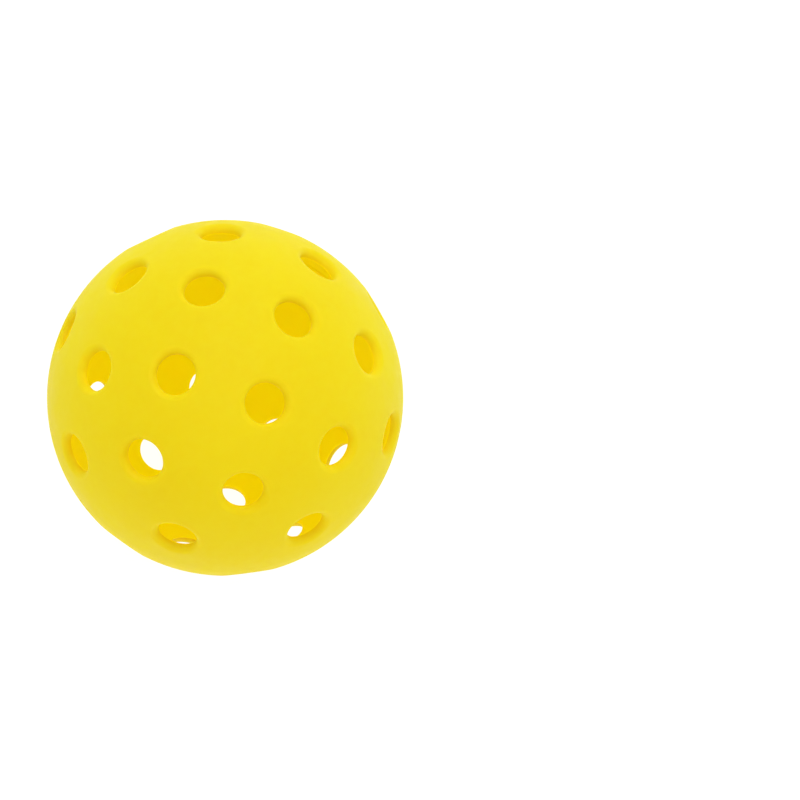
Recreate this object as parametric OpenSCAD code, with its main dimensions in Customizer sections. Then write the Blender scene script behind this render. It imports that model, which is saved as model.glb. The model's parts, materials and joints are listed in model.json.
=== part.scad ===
// Outdoor pickleball ball: a hollow ball of hard polyethylene with forty round holes.
// It is moulded as two half shells of twenty holes each. The halves meet in a stepped
// joint round the equator, and a bead of melted plastic in that joint welds them.
//
// Frame: the origin is the ball's centre, and +Z is the moulding axis, which leaves the
// upper half midway between its four polar holes. The seam lies in the plane z = 0, and
// +X passes under a hole of the upper half's rim ring.

/* [Ball] */
// Outer diameter of the ball
ball_d = 74; // [72:0.1:76]
// Thickness of the shell's wall
wall = 1.9; // [1.75:0.05:2.2]

/* [Holes] */
// Diameter of a hole's straight bore
hole_d = 8.2; // [7:0.1:9]
// Radius of the rounding round a hole's outer mouth
mouth_r = 1.3; // [0.5:0.05:1.4]
// Angle from the pole to the four polar holes
polar_ring_angle = 21.8; // [20:0.1:23]
// Angle from the pole to the eight middle holes
middle_ring_angle = 49.3; // [47:0.1:51]
// Angle from the pole to the eight rim holes
rim_ring_angle = 73.4; // [71:0.1:75]
// Turn of the lower half's holes about the moulding axis, as welded
lower_turn = 71.4; // [0:0.1:90]

/* [Welded joint] */
// Thickness of the upper half's lip, which sits inside the lower half
lip_t = 0.9; // [0.7:0.05:1]
// Height of the lip below the seam
lip_h = 1.6; // [1.2:0.1:2]
// Clearance between the lip and the wall outside it
lip_gap = 0.05; // [0.02:0.01:0.1]
// Height of the weld bead under the lip
bead_h = 0.4; // [0.3:0.05:0.6]
// Chamfer along the seam's outer edge on each half
seam_chamfer = 0.1; // [0.05:0.01:0.2]

/* [Hidden] */

ball_r = ball_d / 2;
inner_r = ball_r - wall;
hole_r = hole_d / 2;

// Each ring of holes in a half: angle from the pole, number of holes, first azimuth.
// The middle ring's holes lie either side of a polar hole, and the rim ring's between.
polar_ring = [polar_ring_angle, 4, 45];
middle_ring = [middle_ring_angle, 8, 22.5];
rim_ring = [rim_ring_angle, 8, 0];
HOLE_RINGS = [polar_ring, middle_ring, rim_ring];

// The circle that rounds a hole's mouth touches the bore and stands this far proud of
// the ball, so that the two surfaces cross at an angle.
mouth_proud = 0.02;
mouth_x = hole_r + mouth_r;
mouth_z = sqrt(pow(ball_r - mouth_r, 2) - pow(mouth_x, 2)) + mouth_proud;

// Outer radius of the lip, and where the inside of the ball meets the bead
lip_r = inner_r + lip_t;
pocket_r = lip_r + lip_gap;
pocket_h = lip_h + bead_h;
bead_z = -lip_h - bead_h / 2;
bead_r = sqrt(pow(inner_r, 2) - pow(bead_z, 2));

// How far cutting shapes run past what they cut
over = 2;

ball_fn = 180;
hole_fn = 64;

shell_yellow = [0.95, 0.86, 0.12];
weld_yellow = [0.97, 0.80, 0.02];

// The wall's section from the pole down to a height below the seam
module wall_section(below) {
    intersection() {
        difference() {
            circle(r = ball_r, $fn = ball_fn);
            circle(r = inner_r, $fn = ball_fn);
        }
        translate([0, -below]) square([ball_r + over, ball_r + below + over]);
    }
}

// What the seam's outer chamfer takes off a half whose rim is at height 0
module seam_chamfer_cut() {
    translate([ball_r, 0]) rotate(45) square(seam_chamfer * sqrt(2), center = true);
}

// One hole's cutter along +Z: the straight bore, and the rounded mouth outside it
module hole_cutter() {
    cylinder(r = hole_r, h = ball_r + over, $fn = hole_fn);
    rotate_extrude($fn = hole_fn) difference() {
        translate([0, mouth_z]) square([mouth_x, mouth_r + over]);
        translate([mouth_x, mouth_z]) circle(r = mouth_r, $fn = hole_fn);
    }
}

// The twenty holes of the upper half
module half_holes() {
    for (ring = HOLE_RINGS)
        for (i = [0 : ring[1] - 1])
            rotate([0, ring[0], ring[2] + i * 360 / ring[1]]) hole_cutter();
}

// Upper half: its lip reaches down past the seam, inside the lower half's rim
module upper_half_shell() {
    color(shell_yellow) difference() {
        rotate_extrude($fn = ball_fn) difference() {
            wall_section(lip_h);
            translate([lip_r, -lip_h - over]) square([wall + over, lip_h + over]);
            seam_chamfer_cut();
        }
        half_holes();
    }
}

// Lower half: a copy with a pocket inside its rim, turned over and welded on
module lower_half_shell() {
    color(shell_yellow) rotate(lower_turn) mirror([0, 0, 1]) difference() {
        rotate_extrude($fn = ball_fn) difference() {
            wall_section(0);
            translate([0, -over]) square([pocket_r, pocket_h + over]);
            seam_chamfer_cut();
        }
        half_holes();
    }
}

// Melted plastic that fills the pocket under the lip and stands proud inside the ball
module weld_bead() {
    color(weld_yellow) rotate_extrude($fn = ball_fn) {
        translate([bead_r, -pocket_h]) square([pocket_r - bead_r, bead_h]);
        translate([bead_r, bead_z]) circle(d = bead_h, $fn = hole_fn);
    }
}

upper_half_shell();
lower_half_shell();
weld_bead();
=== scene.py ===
"""An outdoor pickleball ball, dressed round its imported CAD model.

The two half shells and the weld bead are built again as fine meshes of the CAD's own
shape, every hole with its rounded mouth, and get a moulded polyethylene material.
"""

import json
import math

import bmesh
import bpy
import numpy as np
from mathutils import Matrix, Vector
from mathutils.geometry import delaunay_2d_cdt


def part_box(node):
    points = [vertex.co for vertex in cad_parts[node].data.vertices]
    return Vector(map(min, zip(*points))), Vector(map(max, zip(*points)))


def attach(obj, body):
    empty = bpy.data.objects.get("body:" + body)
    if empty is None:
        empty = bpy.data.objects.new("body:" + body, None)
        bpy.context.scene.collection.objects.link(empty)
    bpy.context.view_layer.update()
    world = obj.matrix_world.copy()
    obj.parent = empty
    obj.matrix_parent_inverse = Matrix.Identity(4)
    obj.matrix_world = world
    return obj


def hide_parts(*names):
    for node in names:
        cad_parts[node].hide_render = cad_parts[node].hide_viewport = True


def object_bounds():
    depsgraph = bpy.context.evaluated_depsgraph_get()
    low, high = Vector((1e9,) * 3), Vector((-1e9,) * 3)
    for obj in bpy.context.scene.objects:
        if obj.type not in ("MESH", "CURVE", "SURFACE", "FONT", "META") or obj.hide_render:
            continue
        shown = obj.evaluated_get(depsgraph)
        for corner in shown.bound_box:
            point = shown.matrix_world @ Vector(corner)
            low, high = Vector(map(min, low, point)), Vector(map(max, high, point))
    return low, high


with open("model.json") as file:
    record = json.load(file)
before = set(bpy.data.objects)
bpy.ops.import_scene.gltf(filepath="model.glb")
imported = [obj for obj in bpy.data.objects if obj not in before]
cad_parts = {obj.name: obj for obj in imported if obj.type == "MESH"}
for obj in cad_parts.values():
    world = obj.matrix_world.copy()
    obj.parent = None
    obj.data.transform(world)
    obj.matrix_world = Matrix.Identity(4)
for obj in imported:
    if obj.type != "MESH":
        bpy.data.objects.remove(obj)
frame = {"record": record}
CAD_LOW, CAD_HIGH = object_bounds()

MM = 0.001

# ---- Sizes, from the frame -------------------------------------------------------
RECORD = frame["record"]
BORES = [m for m in RECORD["mounts"] if m["kind"] == "bore"]
OPENINGS = RECORD["physics"]["openings"]

BALL_R = (CAD_HIGH - CAD_LOW).x / 2
HOLE_R = BORES[0]["dims"]["r_mm"] * MM

# A bore's wall runs from the inner skin to the centre height of the circle that rounds
# the hole's mouth, and that circle touches the ball
BORE_MIDDLE = Vector(BORES[0]["pos_m"]).length
BORE_HALF = BORES[0]["dims"]["length_mm"] * MM / 2
INNER_R = math.hypot(BORE_MIDDLE - BORE_HALF, HOLE_R)
MOUTH_Z = BORE_MIDDLE + BORE_HALF
MOUTH_R = (BALL_R**2 - HOLE_R**2 - MOUTH_Z**2) / (2 * (BALL_R + HOLE_R))

# The stepped joint: a lip on the upper half, and a pocket in the lower half's rim
LIP_H = -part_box("upper_half_shell")[0].z
POCKET_H = -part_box("weld_bead")[0].z
POCKET_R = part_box("weld_bead")[1].x
# The lip's clearance, which the frame doesn't give
LIP_GAP = 0.05 * MM
# Half the hairline left between the welded faces, so that no two of them coincide
HAIR = 0.012 * MM

# ---- How fine the meshes are -----------------------------------------------------
HOLE_SEGMENTS = 64
SEAM_SEGMENTS = 360
MOUTH_STEPS = 10
INNER_EDGE_STEPS = 3
BEAD_STEPS = 10
# Radius of the rounding where a bore meets the inner skin
INNER_EDGE = 0.12 * MM
# Distances of a skin's rings from the edge of a hole
SKIN_RINGS = [0.15 * MM, 0.45 * MM, 0.9 * MM]
# Spacing of a skin's points, and how far they keep from a rim and a hole, in spacings
GRID = 1.0 * MM
CLEAR_OF_RIM = 0.7
CLEAR_OF_HOLE = 0.6
# Area that each of those points takes, in squared spacings
POINT_AREA = 0.866
# Points of the flat picture nearer than this count as one
SAME_POINT = 1e-9
# Edges sharper than this, in degrees, aren't shaded smooth
SHARP_ANGLE = 35

# The bead's bulge into the ball, in half heights: its mean, and each swell's number of
# waves round the ball, size and phase
BULGE = 0.78
SWELLS = [(7, 0.10, 1), (19, 0.07, 0), (43, 0.04, 2)]


# ---- Holes -----------------------------------------------------------------------
def hole_axes():
    """A unit vector out along each hole's axis, from the stated bores and openings."""
    axes = [Vector(bore["axis"]) for bore in BORES]
    for opening in OPENINGS:
        low, high = (Vector(corner) for corner in opening["box_m"])
        axes.append((low + high) / 2)
    return np.array([axis.normalized() for axis in axes])


def across(axis):
    """Two unit vectors at right angles to an axis and to each other."""
    side = np.cross([0.0, 0.0, 1.0], axis)
    side /= np.linalg.norm(side)
    return side, np.cross(axis, side)


def skin_angles(edge_angle, radius):
    """Angles from a hole's axis of the rings that a skin has round the hole."""
    return [edge_angle + beyond / radius for beyond in SKIN_RINGS]


OUTER_EDGE_ANGLE = math.asin((HOLE_R + MOUTH_R) / (BALL_R - MOUTH_R))
INNER_EDGE_ANGLE = math.asin((HOLE_R + INNER_EDGE) / (INNER_R + INNER_EDGE))


def arc(centre, radius, start, end, steps):
    """Points on an arc, from one angle to another, both ends included."""
    angles = np.linspace(start, end, steps + 1)
    return [(centre[0] + radius * math.cos(a), centre[1] + radius * math.sin(a)) for a in angles]


def hole_profile():
    """A hole's section as (distance from the axis, height), from outer to inner skin."""
    outer = [
        (BALL_R * math.sin(angle), BALL_R * math.cos(angle))
        for angle in reversed(skin_angles(OUTER_EDGE_ANGLE, BALL_R))
    ]
    mouth = arc(
        (HOLE_R + MOUTH_R, MOUTH_Z), MOUTH_R, math.pi / 2 - OUTER_EDGE_ANGLE, math.pi, MOUTH_STEPS
    )
    edge_z = (INNER_R + INNER_EDGE) * math.cos(INNER_EDGE_ANGLE)
    edge_end = 1.5 * math.pi - INNER_EDGE_ANGLE
    edge = arc(
        (HOLE_R + INNER_EDGE, edge_z), INNER_EDGE, math.pi, edge_end, INNER_EDGE_STEPS
    )
    inner = [
        (INNER_R * math.sin(angle), INNER_R * math.cos(angle))
        for angle in skin_angles(INNER_EDGE_ANGLE, INNER_R)
    ]
    return outer + mouth + edge + inner


# ---- Meshes ----------------------------------------------------------------------
class Builder:
    """Collects vertices and faces of one mesh."""

    def __init__(self):
        self.points, self.faces = [], []

    def add(self, points):
        """Adds points and returns their numbers."""
        start = len(self.points)
        self.points += [tuple(p) for p in points]
        return list(range(start, len(self.points)))

    def strip(self, one, other):
        """Joins two rings of equal length with four-sided faces."""
        count = len(one)
        for i in range(count):
            j = (i + 1) % count
            self.faces.append((one[i], one[j], other[j], other[i]))

    def object(self, name, flip_z=False):
        """Makes a closed mesh object, smooth but for its sharp corners."""
        points = np.array(self.points)
        if flip_z:
            points[:, 2] *= -1
        mesh = bpy.data.meshes.new(name)
        mesh.from_pydata(points.tolist(), [], self.faces)
        work = bmesh.new()
        work.from_mesh(mesh)
        bmesh.ops.recalc_face_normals(work, faces=work.faces)
        work.to_mesh(mesh)
        work.free()
        mesh.shade_smooth()
        mesh.set_sharp_from_angle(angle=math.radians(SHARP_ANGLE))
        piece = bpy.data.objects.new(name, mesh)
        bpy.context.scene.collection.objects.link(piece)
        return piece


def turns_in(count):
    """A full turn's angles, evenly spaced."""
    return np.arange(count) * 2 * math.pi / count


def ring_round(axis, distance, height):
    """Points on a circle round an axis through the ball's centre."""
    side, up = across(axis)
    turns = turns_in(HOLE_SEGMENTS)
    circle = np.outer(np.cos(turns), side) + np.outer(np.sin(turns), up)
    return circle * distance + axis * height


def seam_ring(radius, height):
    """Points on a circle round the moulding axis."""
    turns = turns_in(SEAM_SEGMENTS)
    level = np.full(SEAM_SEGMENTS, height)
    return np.stack([radius * np.cos(turns), radius * np.sin(turns), level], axis=1)


def grid_on_sphere(radius, lowest, axes, clear_angle):
    """Evenly spread points on a sphere above a height, clear of the holes."""
    count = int(4 * math.pi * radius**2 / (POINT_AREA * GRID**2))
    number = np.arange(count) + 0.5
    height = 1 - 2 * number / count
    golden_angle = math.pi * (3 - math.sqrt(5))
    turn = number * golden_angle
    flat = np.sqrt(1 - height**2)
    points = np.stack([flat * np.cos(turn), flat * np.sin(turn), height], axis=1)
    nearest = (points @ axes.T).max(axis=1)
    above_rim = points[:, 2] * radius > lowest + CLEAR_OF_RIM * GRID
    return points[above_rim & (nearest < math.cos(clear_angle))] * radius


def skin(builder, radius, rim, rings, axes, edge_angle):
    """Fills the sphere between a rim and the outermost ring of each hole."""
    ring_angle = skin_angles(edge_angle, radius)[-1]
    lowest = builder.points[rim[0]][2]
    clear_angle = ring_angle + CLEAR_OF_HOLE * GRID / radius
    spread = grid_on_sphere(radius, lowest, axes, clear_angle)
    loops = [rim, *rings]
    numbers = [n for loop in loops for n in loop] + builder.add(spread)
    points = np.array([builder.points[n] for n in numbers])
    # seen from the opposite pole, a circle on the sphere stays a circle
    flat = points[:, :2] / (radius + points[:, 2:])
    edges, owner, start = [], [], 0
    for which, loop in enumerate(loops):
        count = len(loop)
        edges += [(start + i, start + (i + 1) % count) for i in range(count)]
        owner += [which] * count
        start += count
    owner = np.array(owner + [-1] * len(spread))
    flat_points = [Vector(p) for p in flat.tolist()]
    _, _, faces, sources, _, _ = delaunay_2d_cdt(flat_points, edges, [], 0, SAME_POINT)
    for face in faces:
        corners = [sources[v][0] for v in face]
        owners = set(owner[corners])
        inside_hole = len(owners) == 1 and owners.pop() > 0
        if not inside_hole:
            builder.faces.append(tuple(numbers[c] for c in corners))


def half_shell(name, axes, rim_profile, flip_z):
    """One half of the ball, closed. rim_profile goes from the outer to the inner skin."""
    builder = Builder()
    outer_rings, inner_rings = [], []
    profile = hole_profile()
    for axis in axes:
        rings = [builder.add(ring_round(axis, *point)) for point in profile]
        for one, other in zip(rings, rings[1:]):
            builder.strip(one, other)
        outer_rings.append(rings[0])
        inner_rings.append(rings[-1])
    rims = [builder.add(seam_ring(*point)) for point in rim_profile]
    for one, other in zip(rims, rims[1:]):
        builder.strip(one, other)
    skin(builder, BALL_R, rims[0], outer_rings, axes, OUTER_EDGE_ANGLE)
    skin(builder, INNER_R, rims[-1], inner_rings, axes, INNER_EDGE_ANGLE)
    return builder.object(name, flip_z)


def on_sphere(radius, height):
    """The point of a sphere's section at a height."""
    return math.sqrt(radius**2 - height**2), height


def upper_half(axes):
    """The half with a lip, which reaches down inside the other half's rim."""
    lip_r = POCKET_R - LIP_GAP
    rim = [
        on_sphere(BALL_R, HAIR),
        (lip_r, HAIR),
        (lip_r, -LIP_H),
        on_sphere(INNER_R, -LIP_H),
    ]
    return half_shell("upper_half_skin", axes[axes[:, 2] > 0], rim, flip_z=False)


def lower_half(axes):
    """The half with a pocket inside its rim. It is built upside down, then turned over."""
    rim = [
        on_sphere(BALL_R, HAIR),
        (POCKET_R, HAIR),
        (POCKET_R, POCKET_H),
        on_sphere(INNER_R, POCKET_H),
    ]
    own = axes[axes[:, 2] < 0] * [1, 1, -1]
    return half_shell("lower_half_skin", own, rim, flip_z=True)


def weld_bead():
    """The melted ring in the pocket, which bulges unevenly into the ball."""
    builder = Builder()
    middle = -(LIP_H + POCKET_H) / 2
    half = (POCKET_H - LIP_H) / 2 - HAIR
    root = on_sphere(INNER_R, middle)[0]
    turns = turns_in(SEAM_SEGMENTS)
    bulge = BULGE + sum(size * np.sin(waves * turns + phase) for waves, size, phase in SWELLS)
    back = POCKET_R - HAIR
    rings = [builder.add(seam_ring(back, middle - half))]
    for x, z in arc((0, 0), half, 1.5 * math.pi, 0.5 * math.pi, BEAD_STEPS):
        points = seam_ring(1, middle + z)
        points[:, :2] *= (root + x * bulge)[:, None]
        rings.append(builder.add(points))
    rings.append(builder.add(seam_ring(back, middle + half)))
    for one, other in zip(rings, rings[1:] + rings[:1]):
        builder.strip(one, other)
    return builder.object("weld_bead_flash")


# ---- Materials -------------------------------------------------------------------
class Nodes:
    """Short ways to add and link nodes in one tree, with the coordinates it works from."""

    def __init__(self, tree, coordinates):
        self.tree = tree
        self.place = self.add("ShaderNodeTexCoord").outputs[coordinates]

    def add(self, kind, **values):
        """A new node. Values named after its sockets set them, or link to them."""
        node = self.tree.nodes.new(kind)
        for key, value in values.items():
            if hasattr(node, key):
                setattr(node, key, value)
            else:
                self.set(node, key.replace("_", " "), value)
        return node

    def set(self, node, socket, value):
        """Sets an input socket, or links an output to it."""
        if isinstance(value, bpy.types.NodeSocket):
            self.tree.links.new(value, node.inputs[socket])
        else:
            node.inputs[socket].default_value = value

    def noise(self, size, detail):
        """Noise with features of about this size in metres."""
        node = self.add("ShaderNodeTexNoise", Scale=1 / size, Detail=detail)
        self.set(node, "Vector", self.place)
        return node.outputs["Fac"]

    def maths(self, operation, *values):
        """A maths node's result, from numbers or other nodes' outputs."""
        node = self.add("ShaderNodeMath", operation=operation)
        for socket, value in enumerate(values):
            self.set(node, socket, value)
        return node.outputs[0]

    def spread(self, value, low, high, to_low=0.0, to_high=1.0):
        """Maps a value from one range to another, kept inside it."""
        node = self.add("ShaderNodeMapRange")
        for socket, number in enumerate((value, low, high, to_low, to_high)):
            self.set(node, socket, number)
        return node.outputs[0]

    def mix(self, factor, one, other):
        """A mix of two colours."""
        node = self.add("ShaderNodeMix", data_type="RGBA")
        for socket, value in zip((0, 6, 7), (factor, one, other)):
            self.set(node, socket, value)
        return node.outputs[2]

    def bump(self, height, distance, strength, under=None):
        """A bump of this depth in metres, on top of another."""
        node = self.add("ShaderNodeBump", Height=height, Distance=distance, Strength=strength)
        if under:
            self.set(node, "Normal", under)
        return node.outputs["Normal"]


SHELL_COLOUR = (0.785, 0.645, 0.004, 1)
SHELL_DEEP = (0.775, 0.62, 0.003, 1)
SHELL_PALE = (0.795, 0.67, 0.010, 1)
# The inner skin's colour, a paler and brighter yellow that is painted glow: it stands in for the
# light that comes through the wall and fills the hollow. How far outside that skin it starts and
# is complete
INSIDE_PAINTED_GLOW = (0.998, 0.93, 0.002, 1)
PAINTED_GLOW_STARTS = 0.25 * MM
PAINTED_GLOW_COMPLETE = 0.03 * MM

# Size of each pattern's features
CLOUD_SIZE = 22 * MM
SPECK_SIZE = 1.6 * MM
MOTTLE_SIZE = 3 * MM
RUBBED_SIZE = 14 * MM
WAVE_SIZE = 4 * MM
GRAIN_SIZE = 0.35 * MM
SCRATCH_SIZE = 5 * MM
SCRATCHED_PATCH_SIZE = 9 * MM

# Most that a speck pales the plastic, and that rubbing takes off its roughness
SPECK_SHARE = 0.35
RUBBED_OFF = 0.08
# Least and most roughness before rubbing
ROUGHNESS = (0.54, 0.66)
# Depth and strength of each bump
WAVE_BUMP = (0.03 * MM, 0.5)
GRAIN_BUMP = (0.012 * MM, 0.6)
SCRATCH_BUMP = (0.006 * MM, 0.6)
# Scratches: the stretch and turn of their noise, and how near its middle they show
SCRATCH_STRETCH = (1.0, 0.12, 0.3)
SCRATCH_TURN = (0.5, 0.9, 0.3)
NOISE_MIDDLE = 0.5
SCRATCH_WIDTH = 0.003
# How far red, green and blue light travel in the plastic, as shares of the first figure
LIGHT_REACH = 0.5 * MM
LIGHT_REACH_SHARES = (1.0, 0.85, 0.15)


def material_of(name, make_shader):
    """A material with the shader that a function makes from its nodes."""
    material = bpy.data.materials.new(name)
    material.use_nodes = True
    material.node_tree.nodes.clear()
    n = Nodes(material.node_tree, "Object")
    shader = make_shader(n)
    n.add("ShaderNodeOutputMaterial", Surface=shader.outputs[0])
    return material


def scratches(n):
    """Sparse hairlines: where a stretched noise crosses its middle value."""
    stretched = n.add("ShaderNodeMapping", Scale=SCRATCH_STRETCH, Rotation=SCRATCH_TURN)
    n.set(stretched, "Vector", n.place)
    lines = n.add("ShaderNodeTexNoise", Scale=1 / SCRATCH_SIZE, Detail=1.0)
    n.set(lines, "Vector", stretched.outputs[0])
    on_line = n.maths("COMPARE", lines.outputs["Fac"], NOISE_MIDDLE, SCRATCH_WIDTH)
    sunk = n.spread(n.noise(SCRATCHED_PATCH_SIZE, detail=2), 0.55, 0.7, to_low=0.0, to_high=-1.0)
    return n.maths("MULTIPLY", on_line, sunk)


def plastic(n):
    """Hard polyethylene as moulded: fine grain, faint flow clouds, a soft shine that
    handling has rubbed a little smoother in patches, and hairline scratches. The inner
    skin gets a paler, brighter yellow, which is painted glow for the light inside the ball."""
    clouds = n.spread(n.noise(CLOUD_SIZE, detail=3), 0.35, 0.65)
    specks = n.spread(n.noise(SPECK_SIZE, detail=4), 0.35, 0.7, to_high=SPECK_SHARE)
    tint = n.mix(specks, n.mix(clouds, SHELL_DEEP, SHELL_COLOUR), SHELL_PALE)
    from_centre = n.add("ShaderNodeVectorMath", operation="LENGTH")
    n.set(from_centre, 0, n.place)
    radius = from_centre.outputs["Value"]
    # where the shell's colour gives way to the inner skin's painted glow, a brighter yellow
    # standing in for light inside the ball
    inside = n.spread(radius, INNER_R + PAINTED_GLOW_STARTS, INNER_R + PAINTED_GLOW_COMPLETE)
    mottle = n.spread(n.noise(MOTTLE_SIZE, detail=4), 0.3, 0.7, *ROUGHNESS)
    rubbed = n.spread(n.noise(RUBBED_SIZE, detail=3), 0.5, 0.66, to_high=RUBBED_OFF)
    wave = n.bump(n.noise(WAVE_SIZE, detail=2), *WAVE_BUMP)
    grain = n.bump(n.noise(GRAIN_SIZE, detail=3), *GRAIN_BUMP, under=wave)
    return n.add(
        "ShaderNodeBsdfPrincipled",
        # the shell's own colour outside, the painted glow on the inner skin
        Base_Color=n.mix(inside, tint, INSIDE_PAINTED_GLOW),
        Roughness=n.maths("SUBTRACT", mottle, rubbed),
        Normal=n.bump(scratches(n), *SCRATCH_BUMP, under=grain),
        IOR=1.2,
        Subsurface_Weight=1.0,
        Subsurface_Radius=LIGHT_REACH_SHARES,
        Subsurface_Scale=LIGHT_REACH,
    )


# ---- Stage, lights and camera ----------------------------------------------------
# Where the camera stands from the ball, in degrees, and how far in ball radii
VIEW_AZIMUTH = -81.9
VIEW_ELEVATION = 71.7
VIEW_ROLL = -10.1
VIEW_DISTANCE = 20.9
# The ball's diameter, and its centre's offset right and up, as shares of the picture
BALL_SHARE = 0.4445
BALL_OFFSET = (-0.2181, 0.0027)
SENSOR = 36.0
CLIP_NEAR = 0.01
CLIP_FAR = 20


def view_axes():
    """The view's right, up and backward unit vectors."""
    turn, rise, roll = (math.radians(a) for a in (VIEW_AZIMUTH, VIEW_ELEVATION, VIEW_ROLL))
    flat = Vector((math.sin(turn), -math.cos(turn), 0))
    back = flat * math.cos(rise) + Vector((0, 0, math.sin(rise)))
    level = Vector((0, 0, 1)).cross(back).normalized()
    upright = back.cross(level)
    right = level * math.cos(roll) - upright * math.sin(roll)
    up = level * math.sin(roll) + upright * math.cos(roll)
    return Matrix((right, up, back)).transposed()


def camera():
    """A long lens high over the ball, aimed past it so that it sits left of centre."""
    # the focal length that gives the ball its share of the picture, in picture widths
    focal = BALL_SHARE / 2 * math.sqrt(VIEW_DISTANCE**2 - 1)
    data = bpy.data.cameras.new("camera")
    data.sensor_width = SENSOR
    data.lens = SENSOR * focal
    data.clip_start, data.clip_end = CLIP_NEAR, CLIP_FAR
    towards_ball = Vector((BALL_OFFSET[0], BALL_OFFSET[1], -focal))
    aim = towards_ball.rotation_difference(Vector((0, 0, -1))).to_matrix()
    axes = view_axes()
    middle = (CAD_LOW + CAD_HIGH) / 2
    place = bpy.data.objects.new("camera", data)
    place.rotation_mode = "QUATERNION"
    place.rotation_quaternion = (axes @ aim).to_quaternion()
    place.location = middle + axes.col[2] * VIEW_DISTANCE * BALL_R
    bpy.context.scene.collection.objects.link(place)
    bpy.context.scene.camera = place


# Soft lights: direction in the view's own axes, power and colour
LIGHTS = {
    "overhead": ((0.1, 1.0, 1.0), 2.25, (1, 1, 1)),
    "front": ((0.0, 0.2, 1.0), 2.1, (1, 1, 1)),
    "side": ((1.0, 0.1, 0.5), 0.6, (1, 1, 1)),
    "bounce": ((-0.1, -1.0, 0.5), 1.2, (1, 0.5, 0.1)),
}
LIGHT_DISTANCE = 0.9
LIGHT_SIZE = 0.7
BOUNCES = 28
# Brightness of the room below and above the ball as the view has them, and of the floor
WORLD_LOW = 0.62
WORLD_HIGH = 0.74
FLOOR_GLOW = 0.9
FLOOR_HALF = 3.0
# The room is as bright as the floor where they meet: heights of a direction's unit vector
HORIZON_FULL = 0.07
HORIZON_GONE = 0.20


def softbox(name, direction, power, colour):
    """A square light aimed at the ball."""
    towards = (view_axes() @ Vector(direction)).normalized()
    data = bpy.data.lights.new(name, "AREA")
    data.size, data.energy, data.color = LIGHT_SIZE, power, colour
    light = bpy.data.objects.new(name, data)
    light.location = towards * LIGHT_DISTANCE
    light.rotation_mode = "QUATERNION"
    light.rotation_quaternion = towards.to_track_quat("Z", "Y")
    light.visible_camera = False
    bpy.context.scene.collection.objects.link(light)


def surroundings():
    """A pale room, brighter on the side that the view has at the top and at the horizon."""
    world = bpy.data.worlds.new("studio")
    world.use_nodes = True
    n = Nodes(world.node_tree, "Generated")
    along = n.add("ShaderNodeVectorMath", operation="DOT_PRODUCT")
    n.set(along, 0, n.place)
    n.set(along, 1, view_axes().col[1])
    height = n.add("ShaderNodeSeparateXYZ", Vector=n.place)
    strength = n.spread(along.outputs["Value"], -1.0, 1.0, WORLD_LOW, WORLD_HIGH)
    horizon = n.spread(height.outputs["Z"], HORIZON_FULL, HORIZON_GONE, 1.0, 0.0)
    background = world.node_tree.nodes["Background"]
    n.set(background, "Color", (1, 1, 1, 1))
    n.set(background, "Strength", n.maths("MAXIMUM", strength, horizon))
    bpy.context.scene.world = world


def glow(n):
    """The light table's top."""
    return n.add(
        "ShaderNodeBsdfPrincipled",
        Base_Color=(0.2, 0.2, 0.2, 1),
        Roughness=0.9,
        Emission_Color=(1, 1, 1, 1),
        Emission_Strength=FLOOR_GLOW,
    )


def floor():
    """A white light table that the ball rests on."""
    mesh = bpy.data.meshes.new("floor")
    signs = [(-1, -1), (1, -1), (1, 1), (-1, 1)]
    corners = [(x * FLOOR_HALF, y * FLOOR_HALF, CAD_LOW.z) for x, y in signs]
    mesh.from_pydata(corners, [], [(0, 1, 2, 3)])
    mesh.materials.append(material_of("light_table", glow))
    plane = bpy.data.objects.new("floor", mesh)
    bpy.context.scene.collection.objects.link(plane)


# ---- Assembly --------------------------------------------------------------------
def dress(piece, node, material):
    """Puts a piece in its CAD node's place."""
    piece.data.materials.append(material)
    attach(piece, "root")
    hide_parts(node)


camera()
surroundings()
floor()
for name, values in LIGHTS.items():
    softbox(name, *values)

shell_plastic = material_of("shell_plastic", plastic)
weld_plastic = material_of("weld_plastic", plastic)
AXES = hole_axes()
dress(upper_half(AXES), "upper_half_shell", shell_plastic)
dress(lower_half(AXES), "lower_half_shell", shell_plastic)
dress(weld_bead(), "weld_bead", weld_plastic)

bpy.context.scene.view_settings.view_transform = "Standard"
# light crosses the ball many times before it comes out
bpy.context.scene.cycles.max_bounces = BOUNCES
bpy.context.scene.cycles.diffuse_bounces = BOUNCES
